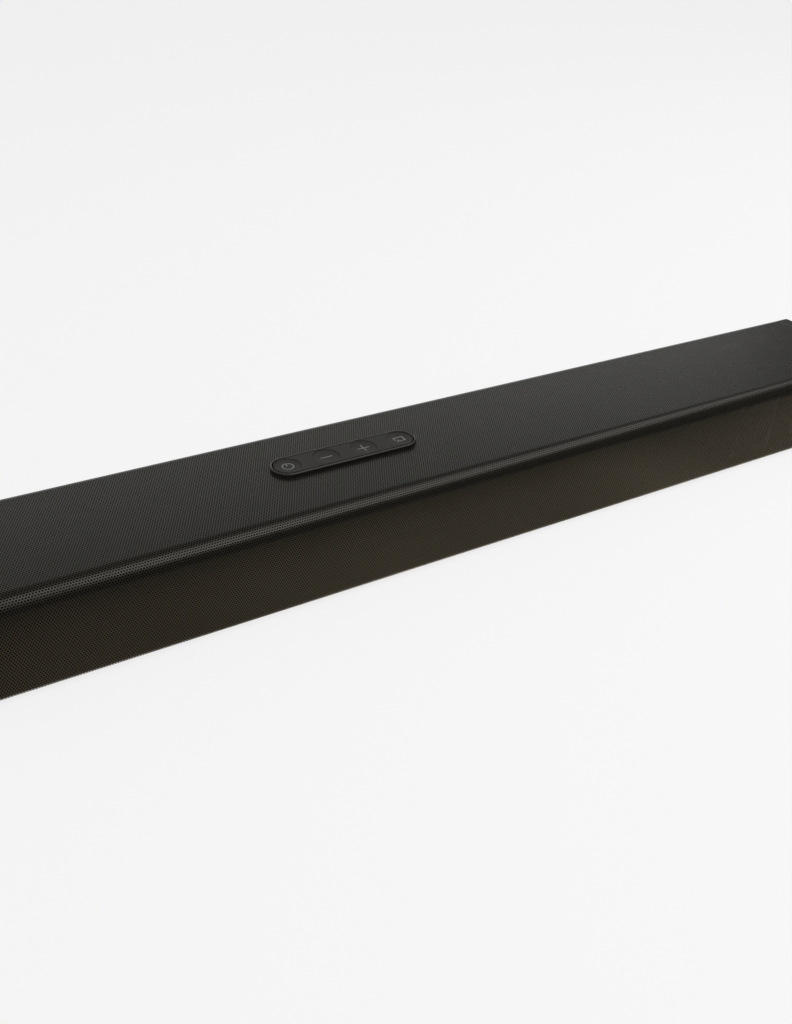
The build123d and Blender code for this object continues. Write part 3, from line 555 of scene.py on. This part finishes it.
def print_sign(key, strokes):
    """Joins the strokes and lays them on the key's dish as a thin layer of ink."""
    low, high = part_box(key)
    for mark in strokes:
        put_points(mark, points_of(mark) + ((low.x + high.x) / 2, (low.y + high.y) / 2, high.z))
    start_fresh()
    for mark in strokes:
        mark.select_set(True)
    bpy.context.view_layer.objects.active = strokes[0]
    if len(strokes) > 1:
        bpy.ops.object.join()
    sign = new_piece(key.replace("key_", "sign_"))
    modify(
        sign,
        "SHRINKWRAP",
        target=nodes[key],
        wrap_method="PROJECT",
        use_project_z=True,
        use_negative_direction=True,
        use_positive_direction=True,
        offset=0,
    )
    put_points(sign, points_of(sign) + (0, 0, SIGN_THICKNESS / 2))
    modify(sign, "SOLIDIFY", thickness=SIGN_THICKNESS, offset=1)
    in_edit_mode(sign, (bpy.ops.mesh.normals_make_consistent, {}))
    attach(sign, key)
    return sign


signs = [
    print_sign("key_power", power_sign()),
    print_sign("key_volume_down", minus_sign()),
    print_sign("key_volume_up", plus_sign()),
    print_sign("key_source", source_sign()),
]


# ---------------------------------------------------------------- finishes


class Value:
    """A number, colour or vector that changes over a surface. Arithmetic on it adds Math nodes."""

    def __init__(self, nodes, socket):
        self.nodes, self.socket = nodes, socket

    def math(self, operation, first, second):
        return self.nodes.add("Math", {"operation": operation}, {0: first, 1: second})

    def __add__(self, other):
        return self.math("ADD", self, other)

    def __radd__(self, other):
        return self.math("ADD", other, self)

    def __sub__(self, other):
        return self.math("SUBTRACT", self, other)

    def __rsub__(self, other):
        return self.math("SUBTRACT", other, self)

    def __mul__(self, other):
        return self.math("MULTIPLY", self, other)

    def __rmul__(self, other):
        return self.math("MULTIPLY", other, self)

    def at_most_one(self):
        return self.math("MINIMUM", self, 1)


class Nodes:
    """A node tree, and the one way in which nodes are added to it."""

    def __init__(self, owner):
        owner.use_nodes = True
        self.tree = owner.node_tree

    def fill(self, socket, value):
        if isinstance(value, Value):
            self.tree.links.new(value.socket, socket)
        else:
            socket.default_value = value

    def add(self, kind, settings=(), sockets=(), output=0):
        made = self.tree.nodes.new("ShaderNode" + kind)
        for name, value in dict(settings).items():
            setattr(made, name, value)
        for key, value in dict(sockets).items():
            self.fill(made.inputs[key], value)
        return Value(self, made.outputs[output])


class Finish(Nodes):
    """A material with one Principled surface, and the patterns that vary it."""

    def __init__(self, name, **constants):
        self.material = bpy.data.materials.new(name)
        super().__init__(self.material)
        self.surface = self.tree.nodes["Principled BSDF"].inputs
        for socket, value in constants.items():
            self.surface[socket.replace("_", " ").title().replace("Ior", "IOR")].default_value = value
        self.place = self.add("TexCoord", output="Object")

    def set(self, socket, value):
        self.fill(self.surface[socket], value)

    def stretched(self, x, y, z):
        """The place on the piece, with each direction drawn out by its own factor."""
        return self.add("Mapping", {}, {"Vector": self.place, "Scale": (1 / x, 1 / y, 1 / z)})

    def mottle(self, size, detail=2.0, roughness=0.5, place=None):
        """Soft patches of about this size, from 0 to 1."""
        return self.add(
            "TexNoise",
            {},
            {"Vector": place or self.place, "Scale": 1 / size, "Detail": detail, "Roughness": roughness},
        )

    def pits(self, size):
        """Rounded pits of about this size, from 0 in the middle to 1 between them."""
        return self.add(
            "TexVoronoi",
            {"feature": "SMOOTH_F1"},
            {"Vector": self.place, "Scale": 1 / size, "Smoothness": 1.0},
        )

    def lines(self, direction, spacing):
        """Even ridges across a direction, from 0 to 1."""
        return self.add(
            "TexWave",
            {"wave_type": "BANDS", "bands_direction": direction},
            {"Vector": self.place, "Scale": math.pi / (10 * spacing)},
        )

    def colours(self, amount, dark, light):
        """Goes from one colour to another as the amount goes from 0 to 1."""
        return self.add(
            "Mix", {"data_type": "RGBA"}, {"Factor": amount, 6: (*dark, 1), 7: (*light, 1)}, output=2
        )

    def paint(self, amount, dark, light):
        """Colours the surface by an amount."""
        self.set("Base Color", self.colours(amount, dark, light))

    def emboss(self, height, depth):
        """Bumps of this depth where the height goes from 0 to 1."""
        self.set("Normal", self.add("Bump", {}, {"Distance": depth, "Height": height}))


def dress(finish, *pieces):
    """Gives pieces and nodes a finish, in place of what they had."""
    for piece in pieces:
        piece = nodes.get(piece, piece)
        if not piece.material_slots:
            piece.data.materials.append(finish.material)
        for slot in piece.material_slots:
            slot.material = finish.material


WARM_TINT = (1.0, 0.97, 0.9, 1)  # of the gloss on plastic and rubber


def moulded(name, dark, light, roughness, grain, depth, gloss=0.4):
    """Spark-textured black plastic, with a grain of this size and depth."""
    finish = Finish(name, specular_ior_level=gloss, specular_tint=WARM_TINT)
    finish.paint(finish.mottle(18 * MM), dark, light)
    finish.set("Roughness", roughness + 0.12 * finish.mottle(9 * MM, detail=4) - 0.06)
    finish.emboss(finish.mottle(grain, detail=5, roughness=0.65), depth)
    return finish


def moulded_rubber(name, dark, light, roughness, depth):
    """Matte rubber with a fine grain."""
    finish = Finish(name, specular_ior_level=0.3, specular_tint=WARM_TINT)
    finish.paint(finish.mottle(6 * MM, detail=4), dark, light)
    finish.set("Roughness", roughness + 0.1 * finish.mottle(3 * MM) - 0.05)
    finish.emboss(finish.mottle(0.25 * MM, detail=3), depth)
    return finish


def metal(name, dark, light, roughness, patch, depth=0.0):
    """Bare or plated metal with patches of this size, and a grain where a depth is given."""
    finish = Finish(name, metallic=1.0)
    finish.paint(finish.mottle(patch, detail=3), dark, light)
    finish.set("Roughness", roughness + 0.16 * finish.mottle(patch / 3, detail=4) - 0.08)
    if depth:
        finish.emboss(finish.mottle(patch / 12, detail=3), depth)
    return finish


# powder coat on the steel skin: faint orange peel, a little warm
skin_paint = Finish("powder_coat", specular_ior_level=0.46, specular_tint=(1.0, 0.96, 0.85, 1))
skin_paint.paint(skin_paint.mottle(22 * MM), (0.0125, 0.011, 0.0076), (0.015, 0.0132, 0.0094))
skin_paint.set("Roughness", 0.25 + 0.07 * skin_paint.mottle(10 * MM, detail=3))
skin_paint.emboss(skin_paint.pits(0.45 * MM), 0.008 * MM)
dress(skin_paint, *skin, "grille")

cabinet_plastic = moulded(
    "cabinet_plastic",
    (0.0075, 0.0073, 0.007),
    (0.0105, 0.0102, 0.0098),
    roughness=0.6,
    grain=0.4 * MM,
    depth=0.03 * MM,
)
dress(cabinet_plastic, "rear_cover", "port_tube_left", "port_tube_right")
baffle_plastic = moulded(
    "baffle_plastic",
    (0.0025, 0.0025, 0.0023),
    (0.004, 0.0039, 0.0036),
    roughness=0.8,
    grain=0.4 * MM,
    depth=0.03 * MM,
    gloss=0.1,
)
dress(baffle_plastic, "front_cabinet")
cap_plastic = moulded(
    "cap_plastic",
    (0.010, 0.0098, 0.0092),
    (0.014, 0.0137, 0.013),
    roughness=0.5,
    grain=0.3 * MM,
    depth=0.018 * MM,
)
dress(cap_plastic, "end_cap_left", "end_cap_right")
panel_plastic = moulded(
    "panel_plastic",
    (0.009, 0.009, 0.009),
    (0.013, 0.013, 0.0125),
    roughness=0.42,
    grain=0.22 * MM,
    depth=0.01 * MM,
)
dress(panel_plastic, "socket_panel")
rim_plastic = moulded(
    "rim_plastic",
    (0.006, 0.0057, 0.005),
    (0.008, 0.0076, 0.0066),
    roughness=0.3,
    grain=0.2 * MM,
    depth=0.002 * MM,
    gloss=0.5,
)
dress(rim_plastic, "pad_bezel", rim)

pad_silicone = moulded_rubber(
    "pad_silicone",
    (0.0235, 0.0224, 0.0195),
    (0.0275, 0.0262, 0.023),
    roughness=0.66,
    depth=0.01 * MM,
)
dress(pad_silicone, "pad_face", "key_power", "key_volume_down", "key_volume_up", "key_source")
foot_rubber = moulded_rubber(
    "foot_rubber",
    (0.016, 0.016, 0.016),
    (0.024, 0.024, 0.023),
    roughness=0.8,
    depth=0.03 * MM,
)
dress(foot_rubber, "rubber_feet")
surround_rubber = moulded_rubber(
    "surround_rubber",
    (0.005, 0.005, 0.005),
    (0.008, 0.008, 0.008),
    roughness=0.6,
    depth=0.012 * MM,
)
socket_plastic = moulded_rubber(
    "socket_plastic",
    (0.011, 0.011, 0.011),
    (0.016, 0.016, 0.016),
    roughness=0.45,
    depth=0.006 * MM,
)
dress(socket_plastic, "aux_socket", "dc_socket", "optical_socket", "key_switches")

ink = Finish("sign_ink", specular_ior_level=0.3)
ink.paint(ink.mottle(0.4 * MM, detail=3), (0.19, 0.19, 0.178), (0.24, 0.24, 0.226))
ink.set("Roughness", 0.55 + 0.15 * ink.mottle(0.5 * MM))
dress(ink, *signs)

screw_steel = metal(
    "black_oxide",
    (0.035, 0.034, 0.033),
    (0.06, 0.058, 0.055),
    roughness=0.45,
    patch=1.2 * MM,
    depth=0.01 * MM,
)
dress(screw_steel, "board_screws", "cabinet_screws", "driver_screws", "key_board_screws")
tinned_steel = metal(
    "tinned_steel",
    (0.52, 0.52, 0.51),
    (0.64, 0.64, 0.63),
    roughness=0.36,
    patch=5 * MM,
)
dress(tinned_steel, "wireless_module")
plated_steel = metal(
    "plated_steel",
    (0.50, 0.50, 0.50),
    (0.60, 0.60, 0.59),
    roughness=0.3,
    patch=3 * MM,
)
dress(plated_steel, "hdmi_socket", "usb_socket")
ferrite = metal(
    "ferrite",
    (0.055, 0.055, 0.06),
    (0.09, 0.09, 0.095),
    roughness=0.6,
    patch=4 * MM,
    depth=0.05 * MM,
)

extruded_aluminium = Finish("extruded_aluminium", metallic=1.0)
extruded_aluminium.paint(extruded_aluminium.mottle(8 * MM), (0.50, 0.50, 0.51), (0.60, 0.60, 0.61))
extruded_aluminium.set(
    "Roughness", 0.3 + 0.2 * extruded_aluminium.mottle(MM, place=extruded_aluminium.stretched(40, 1, 1))
)
dress(extruded_aluminium, "heat_sink")

frame_paint = Finish("frame_paint", specular_ior_level=0.5)
frame_paint.paint(frame_paint.mottle(5 * MM), (0.008, 0.008, 0.008), (0.012, 0.012, 0.012))
frame_paint.set("Roughness", 0.35 + 0.12 * frame_paint.mottle(2 * MM))
frame_paint.emboss(frame_paint.pits(0.6 * MM), 0.01 * MM)

# pressed pulp: short fibres that lie in all directions
pulp = Finish("pulp_cone", specular_ior_level=0.2)
fibres = pulp.mottle(0.5 * MM, detail=6, roughness=0.7)
pulp.paint(fibres, (0.006, 0.006, 0.006), (0.018, 0.018, 0.018))
pulp.set("Roughness", 0.75 + 0.2 * fibres)
pulp.emboss(fibres, 0.06 * MM)

# treated cotton, with its weave
cotton = Finish("treated_cotton", specular_ior_level=0.25)
weave = cotton.lines("X", 0.7 * MM) * cotton.lines("Z", 0.7 * MM)
cotton.paint(weave, (0.42, 0.27, 0.10), (0.62, 0.43, 0.19))
cotton.set("Roughness", 0.9 - 0.2 * weave)
cotton.emboss(weave, 0.08 * MM)

closed_foam = Finish("closed_foam", specular_ior_level=0.2)
cells = closed_foam.pits(0.5 * MM)
# painted shade: each cell's pit is darker towards its middle, where the bump is lowest
closed_foam.paint(cells, (0.010, 0.010, 0.010), (0.03, 0.03, 0.03))
closed_foam.set("Roughness", 0.85 + 0.1 * cells)
closed_foam.emboss(cells, 0.08 * MM)
dress(closed_foam, "driver_gaskets")

for side in ("left", "right"):
    for seat in ("inner", "outer"):
        driver = f"driver_{side}_{seat}_"
        dress(pulp, driver + "cone")
        dress(surround_rubber, driver + "surround")
        dress(frame_paint, driver + "frame")
        dress(ferrite, driver + "magnet")
        dress(cotton, driver + "spider")


def masked_board(name, covered, over_copper, gloss):
    """Solder mask over copper tracks."""
    mask = Finish(name, specular_ior_level=gloss)
    tracks = mask.add(
        "TexBrick",
        {"offset": 0.35},
        {
            "Vector": mask.place,
            "Color1": (0, 0, 0, 1),
            "Color2": (0, 0, 0, 1),
            "Mortar": (1, 1, 1, 1),
            "Scale": 1 / (12 * MM),
            "Mortar Size": 0.035,
            "Row Height": 0.2,
        },
    )
    mask.paint(tracks, covered, over_copper)
    mask.set("Roughness", 0.3 + 0.1 * mask.mottle(4 * MM))
    mask.emboss(tracks, 0.02 * MM)
    return mask


green_mask = masked_board("green_mask", (0.008, 0.07, 0.03), (0.03, 0.17, 0.07), gloss=0.5)
dress(green_mask, "main_board", "key_board")
black_mask = masked_board("black_mask", (0.0025, 0.0025, 0.0025), (0.004, 0.004, 0.004), gloss=0.08)
dress(black_mask, "indicator_board")

compound = moulded(
    "moulding_compound",
    (0.014, 0.014, 0.015),
    (0.022, 0.022, 0.023),
    roughness=0.55,
    grain=0.15 * MM,
    depth=0.01 * MM,
)
dress(compound, "amplifier_chip", "board_capacitors", "board_chokes")

insulation = Finish("lead_insulation", specular_ior_level=0.5)
insulation.paint(insulation.mottle(14 * MM), (0.20, 0.012, 0.012), (0.28, 0.02, 0.02))
insulation.set("Roughness", 0.3 + 0.15 * insulation.mottle(3 * MM))
dress(insulation, "speaker_lead_left", "speaker_lead_right")

flat_cable = Finish("flat_cable", roughness=0.4, specular_ior_level=0.5)
conductors = flat_cable.lines("X", 1.0 * MM)
flat_cable.paint(conductors, (0.42, 0.42, 0.42), (0.66, 0.66, 0.66))
flat_cable.emboss(conductors, 0.05 * MM)
dress(flat_cable, "key_ribbon")

smoked_epoxy = Finish("smoked_epoxy", specular_ior_level=0.08)
smoked_epoxy.paint(smoked_epoxy.mottle(2 * MM), (0.003, 0.003, 0.003), (0.005, 0.005, 0.005))
smoked_epoxy.set("Roughness", 0.45 + 0.1 * smoked_epoxy.mottle(MM))
dress(smoked_epoxy, "indicator_leds")

dark_lens = Finish("receiver_lens", specular_ior_level=0.08)
dark_lens.paint(dark_lens.mottle(2 * MM), (0.004, 0.002, 0.0025), (0.006, 0.003, 0.0035))
dark_lens.set("Roughness", 0.36 + 0.08 * dark_lens.mottle(MM))
dress(dark_lens, "remote_receiver")


# ---------------------------------------------------------------- camera, light and floor

# to the camera from the middle of the pad, at the skin's height
CAMERA_REACH = Vector((-0.317, -0.5139, 0.3279))
CAMERA_TURN = 34.95  # degrees from straight back towards the right
CAMERA_DIP = 31.36
CAMERA_ROLL = 4.06
CAMERA_LENS = 49.51
CAMERA_SENSOR = 36

FLOOR = cad_box[0].z
FRONT = cad_box[0].y
FLOOR_SIZE = 40
FLOOR_GLOW = 0.8
ROOM_LIGHT = 0.35
BACKGROUND = 0.95
LAMP_HEIGHT = 1.5
WALL_HEIGHT = 0.8
WALL_HEADING = 36  # degrees from straight back towards the right
BOARD_LENGTH = 2.4
BOARD_HEIGHT = 0.07
BOARD_DISTANCE = 0.068  # from the bar's front to the dark board


def stand_in_studio(name, data, place, *turns):
    """Puts a camera or lamp in the scene. The turns apply from the last to the first."""
    stand = bpy.data.objects.new(name, data)
    bpy.context.scene.collection.objects.link(stand)
    stand.matrix_world = Matrix.Translation(place)
    for turn in turns:
        stand.matrix_world = stand.matrix_world @ turn
    return stand


def add_camera():
    """The camera, aimed by its own turns from its place over the pad."""
    camera = bpy.data.cameras.new("camera")
    camera.lens = CAMERA_LENS
    camera.sensor_fit = "HORIZONTAL"
    camera.sensor_width = CAMERA_SENSOR
    place = Vector((pad_middle.x, pad_middle.y, skin_high.z)) + CAMERA_REACH
    turns = (turned("Z", -CAMERA_TURN), turned("X", 90 - CAMERA_DIP), turned("Z", CAMERA_ROLL))
    bpy.context.scene.camera = stand_in_studio("camera", camera, place, *turns)


def add_softbox(name, *turns, place, size, radiance):
    """A soft rectangular lamp that faces down before its turns."""
    lamp = bpy.data.lights.new(name, "AREA")
    lamp.shape = "RECTANGLE"
    lamp.size, lamp.size_y = size
    lamp.energy = radiance * math.pi * size[0] * size[1]
    stand_in_studio(name, lamp, place, *turns)


def background_share(nodes):
    """1 for the rays that show the background: the camera's, and those that metal and glass send on."""
    rays = [nodes.add("LightPath", output=f"Is {kind} Ray") for kind in ("Camera", "Glossy", "Transmission")]
    return (rays[0] + rays[1] + rays[2]).at_most_one()


def add_floor():
    """A pale floor that keeps the bar's shadow, and glows in the background."""
    start_fresh()
    bpy.ops.mesh.primitive_plane_add(size=FLOOR_SIZE, location=(0, 0, FLOOR))
    floor = new_piece("floor")
    settle(floor)
    paper = Finish("floor_paper", roughness=0.95, specular_ior_level=0.0)
    paper.set("Base Color", paper.colours(paper.mottle(0.5), (0.86, 0.86, 0.855), (0.87, 0.87, 0.865)))
    glow = paper.add("Emission", {}, {"Color": (1, 1, 1, 1), "Strength": 1.0})
    principled = Value(paper, paper.tree.nodes["Principled BSDF"].outputs[0])
    share = FLOOR_GLOW * background_share(paper)
    mixed = paper.add("MixShader", {}, {0: share, 1: principled, 2: glow})
    paper.fill(paper.tree.nodes["Material Output"].inputs["Surface"], mixed)
    dress(paper, floor)
    floor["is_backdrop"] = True


def add_world():
    """A white room: dim light, and a bright background."""
    world = bpy.data.worlds.new("studio")
    bpy.context.scene.world = world
    studio = Nodes(world)
    background = studio.tree.nodes["Background"].inputs
    background["Color"].default_value = (1, 1, 1, 1)
    share = background_share(studio)
    studio.fill(background["Strength"], ROOM_LIGHT + (BACKGROUND - ROOM_LIGHT) * share)


def add_card(name, *turns, place, size, dark, light, patch):
    """A card that only shows in gloss. It faces up before its turns, and has soft patches."""
    start_fresh()
    bpy.ops.mesh.primitive_plane_add(size=1)
    card = new_piece(name)
    card.scale = (*size, 1)
    settle(card)
    stand = Matrix.Translation(place)
    for turn in turns:
        stand = stand @ turn
    card.data.transform(stand)
    finish = Finish(name + "_face", roughness=1.0, specular_ior_level=0.0, emission_strength=1.0)
    finish.set("Base Color", (0, 0, 0, 1))
    finish.set("Emission Color", finish.colours(finish.mottle(patch), dark, light))
    dress(finish, card)
    card.visible_camera = card.visible_diffuse = card.visible_shadow = False
    card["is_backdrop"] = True


add_camera()
add_floor()
add_world()
add_softbox(
    "overhead",
    turned("Z", 20),
    place=(1.39, -0.97, LAMP_HEIGHT),
    size=(2.6, 2.3),
    radiance=1.7,
)
# an unlit ceiling behind the lamp
add_card(
    "dim_ceiling",
    place=(1.8, 0.8, LAMP_HEIGHT + 0.05),
    size=(4.8, 2.7),
    dark=(0.24, 0.24, 0.235),
    light=(0.36, 0.36, 0.35),
    patch=0.5,
)
# a low dark wall at the front right, which ends the lamp's near side
add_card(
    "dark_wall",
    turned("Z", 90 - WALL_HEADING),
    turned("X", 90),
    place=(1.353, -0.015, FLOOR + WALL_HEIGHT / 2),
    size=(4.4, WALL_HEIGHT),
    dark=(0.08, 0.08, 0.08),
    light=(0.14, 0.14, 0.14),
    patch=0.3,
)
# a dark strip that stands in front of the bar, and a warm one that lies before it
add_card(
    "dark_board",
    turned("X", 90),
    place=(0, FRONT - BOARD_DISTANCE, FLOOR + BOARD_HEIGHT / 2),
    size=(BOARD_LENGTH, BOARD_HEIGHT),
    dark=(0.08, 0.08, 0.075),
    light=(0.14, 0.14, 0.13),
    patch=0.1,
)
add_card(
    "warm_board",
    place=(0, FRONT - BOARD_DISTANCE / 2, FLOOR + 0.5 * MM),
    size=(BOARD_LENGTH, BOARD_DISTANCE),
    dark=(0.35, 0.3, 0.215),
    light=(1.25, 1.09, 0.8),
    patch=0.18,
)
bpy.context.scene.view_settings.view_transform = "Standard"

[[list(corner) for corner in box] for box in (cad_box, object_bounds())]
